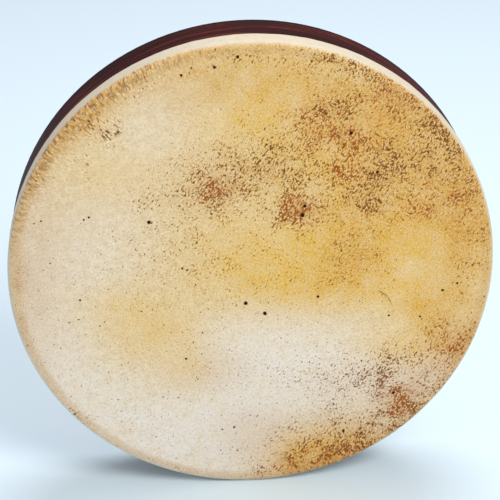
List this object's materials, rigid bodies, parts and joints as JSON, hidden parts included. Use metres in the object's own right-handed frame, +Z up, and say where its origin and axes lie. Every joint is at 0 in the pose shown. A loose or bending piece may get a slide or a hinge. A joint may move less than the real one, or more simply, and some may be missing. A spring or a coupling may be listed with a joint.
{
  "type": "frame drum",
  "caption": "Shallow round wooden hoop, open at the back, with a natural goatskin head glued over its front and a thumb hole through its side.",
  "frame": {"origin": "on the drum's axis, halfway through its depth", "axes": "drum upright: +Z up, the drum's axis along Y, the head facing -Y and the open back facing +Y"},
  "size_m": [0.3999, 0.06, 0.4],
  "materials": {
    "goatskin": "satin, natural rawhide with follicle dots and amber stains",
    "stained_wood": "satin, dark red-brown stain",
    "inner_wood": "matte, thin brown stain",
    "hide_glue": "glossy dried hide glue",
    "pin_brass": "tarnished"
  },
  "bodies": {
    "root": {"drumhead": "goatskin", "glue_band": "hide_glue", "hoop_outer_strip": "stained_wood", "hoop_core_strip": "inner_wood", "hoop_inner_strip": "inner_wood", "front_ring": "inner_wood", "rear_ring": "inner_wood", "seam_pins": "pin_brass"}
  },
  "joints": []
}
